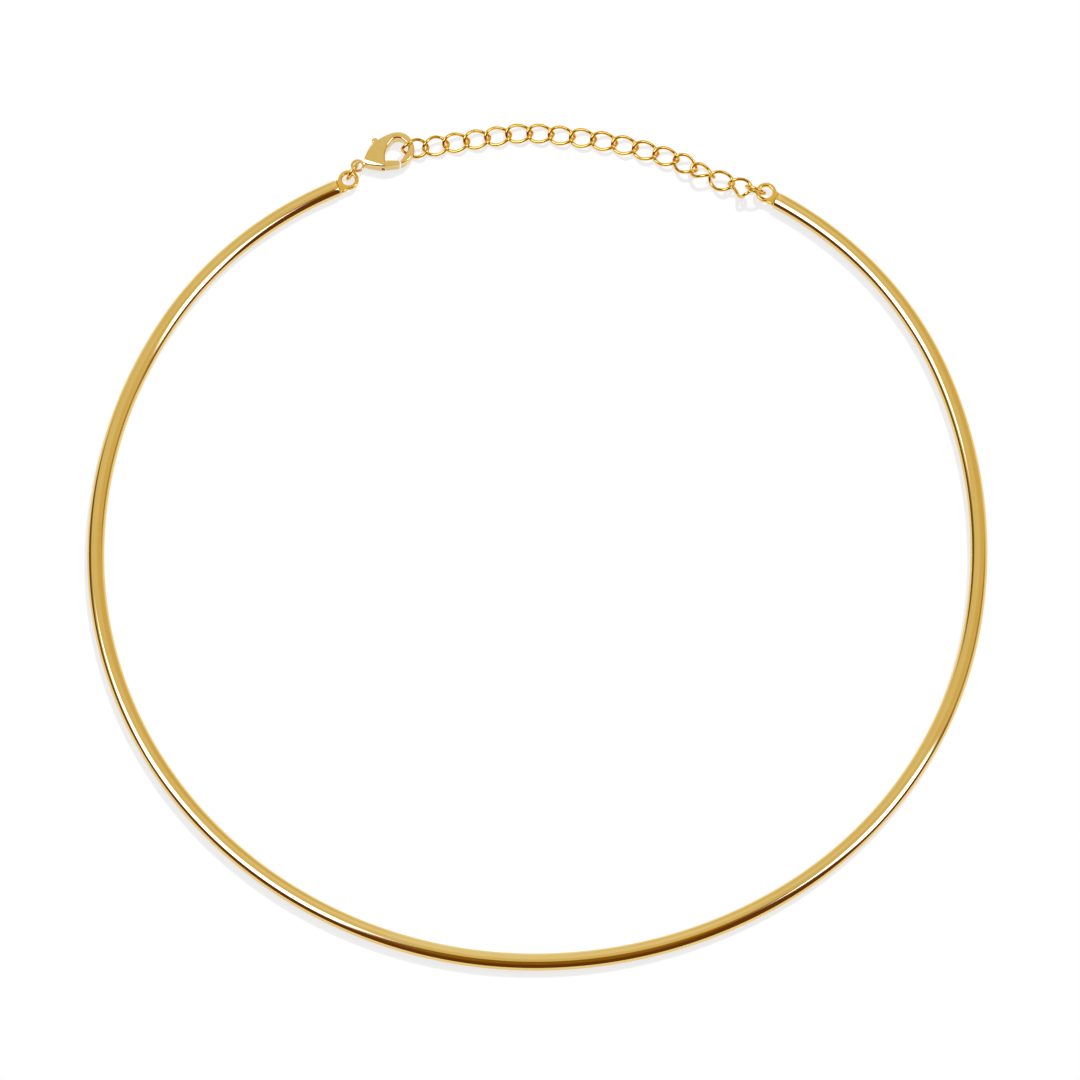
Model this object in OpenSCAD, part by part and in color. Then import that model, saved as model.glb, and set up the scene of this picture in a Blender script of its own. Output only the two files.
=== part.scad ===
// A rigid collar choker of oval tube, with a lobster clasp and an extender chain of
// twisted curb links. It lies flat: Z = 0 is the surface that it rests on, X runs across
// the collar, and the opening at the back of the neck is on the +Y side.

/* [Collar] */
// Width of the oval tube, in the plane of the collar
tube_w = 2.5; // [2:0.1:3]
// Height of the oval tube
tube_h = 2.0; // [1.8:0.1:2.4]
// Flat sides of the tube's section
tube_sides = 20; // [16:2:24]
// Degrees of a bend between one section of the tube and the next
bend_step = 3; // [2:0.5:5]

/* [End loops] */
// Outer diameter of the loop soldered into each end of the tube
loop_d = 3.0; // [2.8:0.05:3.1]
// Diameter of the hole through an end loop
loop_hole = 1.9; // [1.7:0.05:2]
// Thickness of an end loop
loop_t = 0.7; // [0.6:0.05:0.8]

/* [Clasp] */
// Thickness of the clasp's body
clasp_t = 2.0; // [1.8:0.05:2.2]
// Thickness of the lever's tongue inside the body
tongue_t = 0.6; // [0.5:0.05:0.8]
// Diameter of the pin that the lever turns on
pin_d = 0.7; // [0.6:0.05:0.8]
// How far the lever is pressed, in degrees
lever_angle = 0; // [0:1:24]
// Outer diameter of the clasp's tail ring
tail_d = 2.0; // [1.9:0.05:2.1]
// Diameter of the hole in the tail ring
tail_hole = 1.35; // [1.2:0.05:1.4]

/* [Chain] */
// Diameter of the wire of the links and jump rings
wire_d = 0.5; // [0.4:0.05:0.5]
// Length of a link over its wire
link_l = 4.25; // [4.2:0.05:4.3]
// Width of a link over its wire
link_w = 3.12; // [3:0.02:3.2]
// Outer diameter of the two jump rings
ring_d = 3.4; // [3.35:0.05:3.4]
// Sides of the wire
wire_sides = 6; // [6:1:8]
// Sections round a link or ring
link_steps = 16; // [16:2:24]

/* [Hidden] */
gold = [0.83, 0.68, 0.34];

// Left end of the tube's centreline, and the direction that it leaves in
tube_start = [-29.57, 55.5];
tube_heading = -156.1;
// The tube's bends from the left end round the front to the right end:
// bend radius, degrees turned
bends = [[55, 34], [67.5, 35], [62.5, 46], [64, 42],
         [67, 29], [61, 49], [72, 33], [55.5, 38]];
tube_z = tube_h / 2;
// Each end loop: distance of its centre beyond the tube's end, offset away from the neck
loop_out = 1.85;
left_loop_shift = 0.45;
right_loop_shift = 0.25;
// Solder tab between the tube's end and the loop
tab_len = 0.7;
tab_w = 1.9;
// Part of the tab inside the tube, and the bevel along the edges of the loops
tab_root = 0.2;
loop_bevel = 0.18;

// Clasp: where its pin stands, and the way its long axis points
clasp_at = [-23.3, 59.35];
clasp_turn = 17;
// Outline of the body from the tail round the back to the tip of the hook
back_run = [[-2.5, 0.75], [-1.4, 2.2], [0, 3.17], [1.7, 3.68], [3.3, 3.78],
            [4.6, 3.2], [5.3, 1.75], [5.1, -0.05], [3.9, -1.05], [2.95, -1.4]];
// Inside of the hook from its tip back to the lever
hook_run = [[2.76, -0.8], [3.6, -0.12], [4.35, 0.7], [4.45, 1.5], [3.85, 2.55],
            [2.95, 2.87], [2.2, 2.47], [1.4, 1.75], [0.85, 0.8], [0.62, -0.12]];
// Front edge of the body from the lever to the tail
front_run = [[0.28, -1.15], [-0.4, -0.75], [-1.7, -0.1], [-2.3, 0.33]];
run_steps = 5;
// The underside of the hook rises from this x, by this many degrees
taper_x = 2.0;
taper_angle = 17;
tail_at = [-3.42, 0.6];
tail_t = 0.6;
tail_bevel = 0.12;
neck_w = 0.75;
// Lever: the gate's outline, its arm to the knob, and the knob
gate_run = [[0.78, -0.17], [2.48, -0.72], [2.51, -1.2], [2.27, -1.62], [1.4, -1.56],
            [0.45, -1.28]];
arm_reach = 3.6;
arm_angle = 88;
arm_w = 0.7;
hub_d = 1.5;
knob_d = 0.9;
knob_z = 0.35;
knob_t = 1.15;
lever_range = 24;
// Half of the angle that the knob fills, seen from the pin
knob_swing = 10;
slot_gap = 0.08;
slot_reach = 4.6;
pin_gap = 0.05;
gate_lift = 0.05;

// The links from the clasp to the right end: x and y of the centre, heading, roll about
// the long axis, rise of the far end in degrees, twist at each end in degrees
links = [[-18.32, 61.48, 6, 51, -7, 58],
         [-15.30, 62.16, 15, 23, -6, 43],
         [-12.29, 62.78, 8, 11, -1, 35],
         [-9.23, 63.33, 10, 7, 0, 36],
         [-6.15, 63.87, 9, 7, -1, 35],
         [-3.05, 64.32, 3, 8, -1, 35],
         [0.08, 64.26, -2, 7, -1, 36],
         [3.20, 63.94, -7, 6, 0, 36],
         [6.31, 63.52, -6, 7, 0, 35],
         [9.41, 63.02, -11, 7, -1, 36],
         [12.48, 62.36, -12, 6, 0, 36],
         [15.50, 61.49, -17, 7, 0, 36],
         [18.50, 60.55, -17, 5, 0, 36],
         [21.32, 59.22, -31, 1, -1, 52],
         [23.88, 57.90, -29, -30, 10, 48],
         [26.59, 56.50, -23, 15, 6, 36],
         [29.30, 55.17, -28, 44, 25, 61]];
link_a = (link_l - wire_d) / 2;
link_b = (link_w - wire_d) / 2;
floor_gap = 0.02;
// Jump rings: x and y of the centre, direction of the ring's plane, lean of the plane
left_ring = [-27.4, 57.86, 59, -8];
right_ring = [31.54, 54.80, -22, -13];

// The origin is moved under the middle of the whole choker
middle = [-0.38, 0.04];

// A smooth open curve through the points, with n steps between each pair
function along(p, n) = [for (i = [0 : len(p) - 2]) for (k = [0 : n - 1])
  spline(p[max(i - 1, 0)], p[i], p[i + 1], p[min(i + 2, len(p) - 1)], k / n)];
function spline(a, b, c, d, t) =
  b + (c - a) * (t / 2) + (2 * a - 5 * b + 4 * c - d) * (t * t / 2)
  + (3 * b - a - 3 * c + d) * (t * t * t / 2);
function smooth(p, n) = concat(along(p, n), [p[len(p) - 1]]);

// Tubes swept round a closed ring of centre points, as triangles and quads
function side_of(c, i) = let (n = len(c)) c[(i + 1) % n] - c[(i + n - 1) % n];
function unit(v) = v / norm(v);
module closed_wire(c, hub) {
  n = len(c);
  points = [for (i = [0 : n - 1]) let (
      t = unit(side_of(c, i)),
      u = unit(cross(t, cross(c[i] - hub, t))),
      w = cross(t, u))
    for (k = [0 : wire_sides - 1]) let (a = 360 * (k + 0.5) / wire_sides)
      c[i] + (u * cos(a) + w * sin(a)) * wire_d / 2];
  faces = [for (i = [0 : n - 1]) for (k = [0 : wire_sides - 1]) let (
      a = i * wire_sides,
      b = (i + 1) % n * wire_sides,
      m = (k + 1) % wire_sides)
    each [[a + k, a + m, b + m], [a + k, b + m, b + k]]];
  polyhedron(points, faces);
}

// A twisted link: an oval whose two ends turn opposite ways about its long axis
function link_at(t, roll, rise, twist) = let (
    x = link_a * cos(t),
    r = link_b * sin(t),
    a = roll - twist * cos(t),
    y = r * cos(a),
    z = r * sin(a))
  [x * cos(rise) - z * sin(rise), y, x * sin(rise) + z * cos(rise)];
module link(row) {
  steps = [for (i = [0 : link_steps - 1]) 360 * (i + 0.5) / link_steps];
  ring = [for (t = steps) link_at(t, row[3], row[4], row[5])];
  low = min([for (t = [0 : 5 : 355]) link_at(t, row[3], row[4], row[5])[2]]);
  translate([row[0], row[1], wire_d / 2 + floor_gap - low])
    rotate([0, 0, row[2]])
      closed_wire(ring, [0, 0, 0]);
}

module jump_ring(row) {
  r = (ring_d - wire_d) / 2;
  translate([row[0], row[1], wire_d / 2 + floor_gap + r * cos(row[3])])
    rotate([0, 0, row[2]])
      rotate([90 - row[3], 0, 0])
        rotate_extrude($fn = 48)
          translate([r, 0]) circle(d = wire_d, $fn = 24);
}

// The bends follow one another: each starts where the last one ends, in its direction
function heading(i) = i == 0 ? tube_heading : heading(i - 1) + bends[i - 1][1];
function start(i) = i == 0 ? tube_start : on_bend(i - 1, bends[i - 1][1]);
function on_bend(i, a) = let (h = heading(i), r = bends[i][0])
  start(i) + r * [sin(h + a) - sin(h), cos(h) - cos(h + a)];
function tube_station(i, a) = [on_bend(i, a), heading(i) + a];
tube_end = tube_station(len(bends) - 1, bends[len(bends) - 1][1]);

// The oval tube, as one skin through its sections
module tube() {
  stations = concat([for (i = [0 : len(bends) - 1]) let (n = ceil(bends[i][1] / bend_step))
    for (k = [0 : n - 1]) tube_station(i, bends[i][1] * k / n)], [tube_end]);
  points = [for (s = stations) for (k = [0 : tube_sides - 1]) let (
      a = 360 * (k + 0.5) / tube_sides,
      out = tube_w / 2 * cos(a))
    [s[0][0] + out * sin(s[1]), s[0][1] - out * cos(s[1]), tube_z + tube_h / 2 * sin(a)]];
  last = (len(stations) - 1) * tube_sides;
  sides = [for (i = [0 : len(stations) - 2]) for (k = [0 : tube_sides - 1]) let (
      a = i * tube_sides,
      b = a + tube_sides,
      m = (k + 1) % tube_sides)
    [a + k, a + m, b + m, b + k]];
  first_cap = [for (k = [0 : tube_sides - 1]) tube_sides - 1 - k];
  last_cap = [for (k = [0 : tube_sides - 1]) last + k];
  polyhedron(points, concat([first_cap], sides, [last_cap]));
}

// A flat ring with bevelled edges, centred on its own middle
module flat_ring(outer_d, hole_d, t, bevel) {
  r = outer_d / 2;
  h = hole_d / 2;
  z = t / 2;
  rotate_extrude($fn = 48)
    polygon([[h, bevel - z], [h, z - bevel], [h + bevel, z], [r - bevel, z],
             [r, z - bevel], [r, bevel - z], [r - bevel, -z], [h + bevel, -z]]);
}

// The loop with its tab, drawn from the tube's end outwards along +X
module end_loop(shift) {
  translate([loop_out, shift, 0]) flat_ring(loop_d, loop_hole, loop_t, loop_bevel);
  translate([-tab_root, -tab_w / 2, -loop_t / 2]) cube([tab_len + tab_root, tab_w, loop_t]);
}

module placed() {
  color(gold) translate([-middle[0], -middle[1], 0]) children();
}

module collar() {
  placed() {
    tube();
    translate([tube_start[0], tube_start[1], tube_z])
      rotate([0, 0, tube_heading + 180]) end_loop(left_loop_shift);
    translate([tube_end[0][0], tube_end[0][1], tube_z])
      rotate([0, 0, tube_end[1]]) end_loop(-right_loop_shift);
  }
}

module on_clasp() {
  placed() translate([clasp_at[0], clasp_at[1], 0]) rotate([0, 0, clasp_turn]) children();
}

// A pie slice about the pin, from one angle to another
module slice(r, from, to, z, h) {
  steps = 8;
  translate([0, 0, z]) linear_extrude(h)
    polygon(concat([[0, 0]], [for (i = [0 : steps]) r * [cos(from + (to - from) * i / steps),
                                                        sin(from + (to - from) * i / steps)]]));
}

module clasp_body() {
  slot_z = (clasp_t - tongue_t) / 2 - slot_gap;
  slot_t = tongue_t + 2 * slot_gap;
  on_clasp() {
    difference() {
      union() {
        linear_extrude(clasp_t)
          polygon(concat(smooth(back_run, run_steps), smooth(hook_run, run_steps),
                         smooth(front_run, run_steps)));
        translate([tail_at[0], tail_at[1], clasp_t / 2])
          flat_ring(tail_d, tail_hole, tail_t, tail_bevel);
        translate([tail_at[0] + tail_d / 2 - 0.2, tail_at[1] - neck_w / 2, (clasp_t - tail_t) / 2])
          cube([0.7, neck_w, tail_t]);
      }
      translate([taper_x, -3, 0]) rotate([0, -taper_angle, 0]) translate([0, 0, -3]) cube([6, 8, 3]);
      slice(slot_reach, arm_angle, arm_angle + lever_range, slot_z, slot_t);
      for (a = [arm_angle, arm_angle + lever_range])
        rotate([0, 0, a]) translate([0, -arm_w / 2 - slot_gap, slot_z])
          cube([slot_reach, arm_w + 2 * slot_gap, slot_t]);
      slice(1.6, -100, 45, slot_z, slot_t);
      translate([0, 0, slot_z]) cylinder(d = hub_d + 2 * slot_gap, h = slot_t, $fn = 48);
      rotate([0, 0, arm_angle - knob_swing])
        rotate_extrude(angle = lever_range + 2 * knob_swing, $fn = 96)
          translate([arm_reach - knob_d / 2 - slot_gap, knob_z - slot_gap])
            square([knob_d * 2, knob_t + 2 * slot_gap]);
    }
    translate([0, 0, slot_z - 0.1]) cylinder(d = pin_d, h = slot_t + 0.2, $fn = 48);
  }
}

module clasp_lever() {
  tongue_z = (clasp_t - tongue_t) / 2;
  on_clasp() rotate([0, 0, lever_angle]) difference() {
    union() {
      translate([0, 0, gate_lift]) linear_extrude(clasp_t - gate_lift) polygon(gate_run);
      translate([0, 0, tongue_z]) cylinder(d = hub_d, h = tongue_t, $fn = 48);
      translate([0, 0, tongue_z]) linear_extrude(tongue_t)
        polygon([[0, -0.1], [1, -0.35], [0.8, -1.3], [0.3, -1.05], [-0.3, -0.6]]);
      rotate([0, 0, arm_angle]) translate([0, -arm_w / 2, tongue_z])
        cube([arm_reach, arm_w, tongue_t]);
      rotate([0, 0, arm_angle]) translate([arm_reach, 0, knob_z])
        cylinder(d = knob_d, h = knob_t, $fn = 48);
    }
    translate([0, 0, tongue_z - 0.1]) cylinder(d = pin_d + 2 * pin_gap, h = tongue_t + 0.2, $fn = 48);
  }
}

module clasp_ring() {
  placed() jump_ring(left_ring);
}

module chain_ring() {
  placed() jump_ring(right_ring);
}

module chain_link(number) {
  placed() link(links[number - 1]);
}

collar();
clasp_body();
clasp_lever();
clasp_ring();
chain_link(1);  // link_01
chain_link(2);  // link_02
chain_link(3);  // link_03
chain_link(4);  // link_04
chain_link(5);  // link_05
chain_link(6);  // link_06
chain_link(7);  // link_07
chain_link(8);  // link_08
chain_link(9);  // link_09
chain_link(10);  // link_10
chain_link(11);  // link_11
chain_link(12);  // link_12
chain_link(13);  // link_13
chain_link(14);  // link_14
chain_link(15);  // link_15
chain_link(16);  // link_16
chain_link(17);  // link_17
chain_ring();
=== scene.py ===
"""A polished gold collar choker with a lever clasp and an extender chain, lying on a pale floor.

All sizes are in millimetres in the plan of the choker, and are placed in metres in the frame.
"""
import logging
import math
from dataclasses import dataclass
from enum import Enum
from typing import Callable, Iterable, Sequence, Union

import bmesh
import bpy
from bmesh.types import BMEdge, BMesh, BMVert
from mathutils import Matrix, Vector


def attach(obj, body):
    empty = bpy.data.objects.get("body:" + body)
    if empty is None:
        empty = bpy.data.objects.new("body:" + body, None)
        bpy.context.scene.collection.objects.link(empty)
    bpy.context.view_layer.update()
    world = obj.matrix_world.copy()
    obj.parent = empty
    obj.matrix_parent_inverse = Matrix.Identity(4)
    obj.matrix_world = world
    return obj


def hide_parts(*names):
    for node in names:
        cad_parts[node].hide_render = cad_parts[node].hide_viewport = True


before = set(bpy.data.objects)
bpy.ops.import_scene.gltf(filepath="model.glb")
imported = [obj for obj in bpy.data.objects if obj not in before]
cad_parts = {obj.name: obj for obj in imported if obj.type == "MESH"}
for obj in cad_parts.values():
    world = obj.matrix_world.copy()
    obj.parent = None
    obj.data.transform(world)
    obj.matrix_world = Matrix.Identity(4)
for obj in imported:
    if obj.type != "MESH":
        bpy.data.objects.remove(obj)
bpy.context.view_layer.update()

LOG = logging.getLogger("choker")
MM = 0.001
# Where the middle of the frame lies in the choker's plan
PLAN_MIDDLE = (-0.38, 0.04)
UP = Vector((0.0, 0.0, 1.0))
WHITE = (1.0, 1.0, 1.0, 1.0)
# Points or heights of a solid that differ by less than this, in millimetres, count as the same
NEAR = 0.0001
# Steps across the usual rounded rim
RIM_STEPS = 4
Point = tuple[float, float]
Colour = tuple[float, float, float, float]


class Body(Enum):
    """The rigid bodies of the choker that a piece can ride on."""

    CHOKER = "choker"
    LEVER = "lever"


class Slot(Enum):
    """The material slots that the pieces take their finish from."""

    COLLAR = "collar_gold"
    CLASP = "clasp_gold"
    LEVER = "lever_gold"
    RING = "ring_gold"
    LINK = "link_gold"


class Cut(Enum):
    """Ways to combine two solids."""

    UNION = "UNION"
    DIFFERENCE = "DIFFERENCE"


def plan(x: float, y: float, z: float = 0.0) -> Vector:
    """Turn a place in the choker's plan into a place in the frame.

    Args:
        x: Distance across the collar, in millimetres.
        y: Distance towards the back of the neck, in millimetres.
        z: Height over the surface, in millimetres.

    Returns:
        The place in metres.
    """
    return Vector((x - PLAN_MIDDLE[0], y - PLAN_MIDDLE[1], z)) * MM


def placed(x: float, y: float, z: float = 0.0, turn: float = 0.0) -> Matrix:
    """Give the matrix that puts a piece drawn in millimetres in its place.

    Args:
        x: Plan place of the piece's origin across the collar.
        y: Its plan place towards the back of the neck.
        z: Its height over the surface.
        turn: Turn about the vertical, in degrees.

    Returns:
        The matrix from the piece's millimetres to the frame's metres.
    """
    heading = Matrix.Rotation(math.radians(turn), 4, "Z")
    return Matrix.Translation(plan(x, y, z)) @ heading @ Matrix.Scale(MM, 4)


def smooth_run(points: Sequence[Point], steps: int) -> list[Point]:
    """Draw a smooth open curve through the points.

    Args:
        points: The points that the curve passes through.
        steps: Steps between each pair of points.

    Returns:
        The points of the curve, both ends included.
    """
    out: list[Point] = []
    last = len(points) - 1
    for i in range(last):
        a, b, c, d = (Vector(points[min(max(i + k, 0), last)]) for k in (-1, 0, 1, 2))
        for k in range(steps):
            t = k / steps
            p = b + (c - a) * (t / 2) + (2 * a - 5 * b + 4 * c - d) * (t * t / 2)
            p += (3 * b - a - 3 * c + d) * (t ** 3 / 2)
            out.append((p.x, p.y))
    out.append(tuple(points[last]))
    return out


class Field:
    """A shader socket that takes part in Python arithmetic."""

    def __init__(self, tree: "Tree", socket: bpy.types.NodeSocket) -> None:
        """Wrap a socket of the tree."""
        self.tree = tree
        self.socket = socket

    def _math(self, operation: str, *values: "Value") -> "Field":
        """Add a Math node on these values."""
        return self.tree.node("ShaderNodeMath", {"operation": operation}, list(values))

    def __add__(self, other: "Value") -> "Field":
        """Add a value."""
        return self._math("ADD", self, other)

    def __sub__(self, other: "Value") -> "Field":
        """Take a value away."""
        return self._math("SUBTRACT", self, other)

    def __rsub__(self, other: "Value") -> "Field":
        """Take this field away from a value."""
        return self._math("SUBTRACT", other, self)

    def __mul__(self, other: "Value") -> "Field":
        """Multiply by a value."""
        return self._math("MULTIPLY", self, other)

    def __truediv__(self, other: "Value") -> "Field":
        """Divide by a value."""
        return self._math("DIVIDE", self, other)

    def __pow__(self, other: "Value") -> "Field":
        """Raise to a power."""
        return self._math("POWER", self, other)

    __radd__ = __add__
    __rmul__ = __mul__

    def magnitude(self) -> "Field":
        """Give the value without its sign."""
        return self._math("ABSOLUTE", self)

    def arccosine(self) -> "Field":
        """Give the angle of which this is the cosine, in radians."""
        return self._math("ARCCOSINE", self)

    def at_least(self, other: "Value") -> "Field":
        """Give the larger of the two."""
        return self._math("MAXIMUM", self, other)

    def ramp(self, low: float, high: float) -> "Field":
        """Turn the value into a share with a soft edge.

        Args:
            low: The value at which the share is 0.
            high: The value at which the share is 1, which may be the smaller of the two.

        Returns:
            The share, which runs smoothly between the two.
        """
        settings = {"interpolation_type": "SMOOTHSTEP", "clamp": True}
        if low < high:
            return self.tree.node("ShaderNodeMapRange", settings, {0: self, 1: low, 2: high, 3: 0.0, 4: 1.0})
        return self.tree.node("ShaderNodeMapRange", settings, {0: self, 1: high, 2: low, 3: 1.0, 4: 0.0})


Value = Union[Field, float]
Inputs = Union[dict, list]


class Tree:
    """A node tree of a material or of the world."""

    def __init__(self, owner: Union[bpy.types.Material, bpy.types.World]) -> None:
        """Start an empty tree.

        Args:
            owner: The material or the world that the tree belongs to.
        """
        owner.use_nodes = True
        self.nodes = owner.node_tree.nodes
        self.links = owner.node_tree.links
        self.nodes.clear()

    def node(self, kind: str, settings: dict, inputs: Inputs, output: Union[int, str] = 0) -> Field:
        """Add a node.

        Args:
            kind: The node's type.
            settings: Properties of the node, set first.
            inputs: Values or fields by the name or the number of the input.
            output: The output that is wanted.

        Returns:
            The wanted output.
        """
        made = self.nodes.new(kind)
        for name, value in settings.items():
            setattr(made, name, value)
        pairs = inputs.items() if isinstance(inputs, dict) else enumerate(inputs)
        for key, value in pairs:
            if isinstance(value, Field):
                self.links.new(value.socket, made.inputs[key])
            else:
                made.inputs[key].default_value = value
        return Field(self, made.outputs[output])

    def finish(self, shader: Field, kind: str) -> None:
        """Lead the shader to the output node of the tree.

        Args:
            shader: The shader's socket.
            kind: The output node's type.
        """
        self.links.new(shader.socket, self.nodes.new(kind).inputs["Surface"])

    def blend(self, share: Value, first: Union[Field, Colour], second: Union[Field, Colour]) -> Field:
        """Mix two colours.

        Args:
            share: Share of the second colour, from 0 to 1.
            first: The first colour.
            second: The second colour.

        Returns:
            The mixed colour.
        """
        settings = {"data_type": "RGBA", "blend_type": "MIX", "clamp_factor": True}
        return self.node("ShaderNodeMix", settings, {0: share, 6: first, 7: second}, 2)


@dataclass(frozen=True)
class Marks:
    """One family of fine marks that polishing and wear leave: how long, turned and wide they are."""

    scale: float
    stretch: tuple[float, float, float]
    turn: tuple[float, float, float]
    detail: float
    roughness: float
    width: float
    share: float


@dataclass(frozen=True)
class GoldFinish:
    """Polished yellow gold plating with the faint marks of making and wear, its depths in metres."""

    name: str
    light: Colour = (0.835, 0.605, 0.22, 1.0)
    deep: Colour = (0.815, 0.58, 0.195, 1.0)
    polish: float = 0.05
    haze: float = 0.05
    wisps: Marks = Marks(3600.0, (1.0, 0.12, 0.6), (0.2, 0.1, 0.7), 4.0, 0.65, 0.05, 0.6)
    nicks: Marks = Marks(2250.0, (0.15, 1.0, 0.7), (0.1, 0.3, 0.5), 5.0, 0.7, 0.03, 0.4)
    scratch_haze: float = 0.5
    scratch_strength: float = 0.25
    scratch_depth: float = 0.000002
    ripple_scale: float = 160.0
    ripple_strength: float = 0.35
    ripple_depth: float = 0.000008
    tone_range: tuple[float, float] = (0.3, 0.7)
    haze_range: tuple[float, float] = (0.35, 0.75)

    @staticmethod
    def drawn(tree: Tree, place: Field, marks: Marks) -> Field:
        """Draw one family of marks.

        Args:
            tree: The material's tree.
            place: The place on the piece.
            marks: The marks.

        Returns:
            How marked the surface is, from 0 to the marks' share.
        """
        stretched = tree.node("ShaderNodeMapping", {}, {
            "Vector": place, "Scale": marks.stretch, "Rotation": marks.turn})
        noise = tree.node("ShaderNodeTexNoise", {}, {
            "Vector": stretched, "Scale": marks.scale, "Detail": marks.detail, "Roughness": marks.roughness})
        # A mark runs wherever the noise passes through its middle value
        return (noise - 0.5).magnitude().ramp(marks.width, 0.0) * marks.share

    def build(self) -> bpy.types.Material:
        """Make the material.

        Returns:
            The material of this finish.
        """
        material = bpy.data.materials.new(self.name)
        tree = Tree(material)
        place = tree.node("ShaderNodeTexCoord", {}, {}, "Object")
        cloud = tree.node("ShaderNodeTexNoise", {}, {
            "Vector": place, "Scale": self.ripple_scale, "Detail": 3.0})
        scratched = self.drawn(tree, place, self.wisps) + self.drawn(tree, place, self.nicks)
        tone = tree.blend(cloud.ramp(*self.tone_range), self.light, self.deep)
        rough = cloud.ramp(*self.haze_range) * self.haze + self.polish
        rough = rough + scratched * (self.haze * self.scratch_haze)
        ripple = tree.node("ShaderNodeBump", {}, {
            "Strength": self.ripple_strength, "Distance": self.ripple_depth, "Height": cloud})
        relief = tree.node("ShaderNodeBump", {"invert": True}, {
            "Strength": self.scratch_strength, "Distance": self.scratch_depth, "Height": scratched,
            "Normal": ripple})
        shader = tree.node("ShaderNodeBsdfPrincipled", {}, {
            "Base Color": tone, "Metallic": 1.0, "Roughness": rough, "Normal": relief})
        tree.finish(shader, "ShaderNodeOutputMaterial")
        return material


@dataclass(frozen=True)
class FloorFinish:
    """Matt white card that glows a little, as on a light table."""

    name: str = "white_card"
    tone: Colour = (0.305, 0.305, 0.305, 1.0)
    shade: Colour = (0.295, 0.295, 0.295, 1.0)
    tooth_scale: float = 600.0
    glow: float = 0.72
    glow_tone: Colour = (0.99, 0.997, 1.012, 1.0)

    def build(self) -> bpy.types.Material:
        """Make the material.

        Returns:
            The material of the card.
        """
        material = bpy.data.materials.new(self.name)
        tree = Tree(material)
        place = tree.node("ShaderNodeTexCoord", {}, {}, "Object")
        tooth = tree.node("ShaderNodeTexNoise", {}, {
            "Vector": place, "Scale": self.tooth_scale, "Detail": 3.0})
        shader = tree.node("ShaderNodeBsdfPrincipled", {}, {
            "Base Color": tree.blend(tooth, self.tone, self.shade), "Roughness": 1.0,
            "Specular IOR Level": 0.0, "Emission Color": self.glow_tone, "Emission Strength": self.glow})
        tree.finish(shader, "ShaderNodeOutputMaterial")
        return material


class Workshop:
    """Turns bmeshes into finished pieces of the choker."""

    def __init__(self, finishes: dict[Slot, bpy.types.Material]) -> None:
        """Keep the material of each slot."""
        self.finishes = finishes

    def piece(self, bm: BMesh, name: str, body: Body, slot: Slot, place: Matrix,
              nodes: Sequence[str] = (), crease: float = 38.0) -> None:
        """Make an object of a bmesh and tie it to the frame.

        Args:
            bm: The mesh in millimetres, which is freed.
            name: The piece's name.
            body: The body that the piece rides on.
            slot: The slot that its finish belongs to.
            place: Matrix from the piece's millimetres to the frame.
            nodes: The nodes of the frame that the piece stands for.
            crease: Edges sharper than this, in degrees, stay crisp.
        """
        bmesh.ops.transform(bm, matrix=place, verts=bm.verts)
        bmesh.ops.recalc_face_normals(bm, faces=bm.faces)
        mesh = bpy.data.meshes.new(name)
        bm.to_mesh(mesh)
        bm.free()
        mesh.shade_smooth()
        mesh.set_sharp_from_angle(angle=math.radians(crease))
        mesh.materials.append(self.finishes[slot])
        made = bpy.data.objects.new(name, mesh)
        bpy.context.scene.collection.objects.link(made)
        # Large flat faces rule the shading, so that rounded edges don't bleed into them
        made.modifiers.new("even_faces", "WEIGHTED_NORMAL").keep_sharp = True
        graph = bpy.context.evaluated_depsgraph_get()
        made.data = bpy.data.meshes.new_from_object(made.evaluated_get(graph))
        made.modifiers.clear()
        bpy.data.meshes.remove(mesh)
        made.data.name = name
        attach(made, body.value)
        if nodes:
            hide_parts(*nodes)
        LOG.info("%s: %d faces", name, len(made.data.polygons))


def combine(base: BMesh, other: BMesh, how: Cut) -> BMesh:
    """Join a solid to another or cut it out.

    Args:
        base: The solid that is kept, which is freed.
        other: The solid that is joined or cut out, which is freed.
        how: Whether to join or to cut.

    Returns:
        The new solid.
    """
    objects = []
    for bm in (base, other):
        mesh = bpy.data.meshes.new("solid")
        bm.to_mesh(mesh)
        bm.free()
        made = bpy.data.objects.new("solid", mesh)
        bpy.context.scene.collection.objects.link(made)
        objects.append(made)
    work = objects[0].modifiers.new("cut", "BOOLEAN")
    work.operation = how.value
    work.solver = "EXACT"
    work.object = objects[1]
    graph = bpy.context.evaluated_depsgraph_get()
    result = bmesh.new()
    result.from_mesh(objects[0].evaluated_get(graph).data)
    for made in objects:
        mesh = made.data
        bpy.data.objects.remove(made)
        bpy.data.meshes.remove(mesh)
    bmesh.ops.remove_doubles(result, verts=result.verts, dist=NEAR)
    return result


def plate(outline: Sequence[Point], low: float, high: float) -> BMesh:
    """Extrude a flat outline upwards.

    Args:
        outline: The outline's corners.
        low: Height of the lower face.
        high: Height of the upper face.

    Returns:
        The plate as a closed solid.
    """
    bm = bmesh.new()
    corners = [bm.verts.new((x, y, low)) for x, y in outline]
    face = bm.faces.new(corners)
    grown = bmesh.ops.extrude_face_region(bm, geom=[face])["geom"]
    top = [v for v in grown if isinstance(v, BMVert)]
    bmesh.ops.translate(bm, vec=(0.0, 0.0, high - low), verts=top)
    bmesh.ops.recalc_face_normals(bm, faces=bm.faces)
    return bm


def round_edges(bm: BMesh, edges: Iterable[BMEdge], size: float, steps: int = 3,
                clamp: bool = True) -> None:
    """Round the given edges of a solid.

    Args:
        bm: The solid.
        edges: The edges to round.
        size: How far the rounding reaches from each edge.
        steps: Steps across the rounding.
        clamp: Whether roundings stop where they would meet.
    """
    bmesh.ops.bevel(bm, geom=list(edges), offset=size, offset_type="OFFSET", affect="EDGES", segments=steps,
                    profile=0.5, material=-1, clamp_overlap=clamp)


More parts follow.
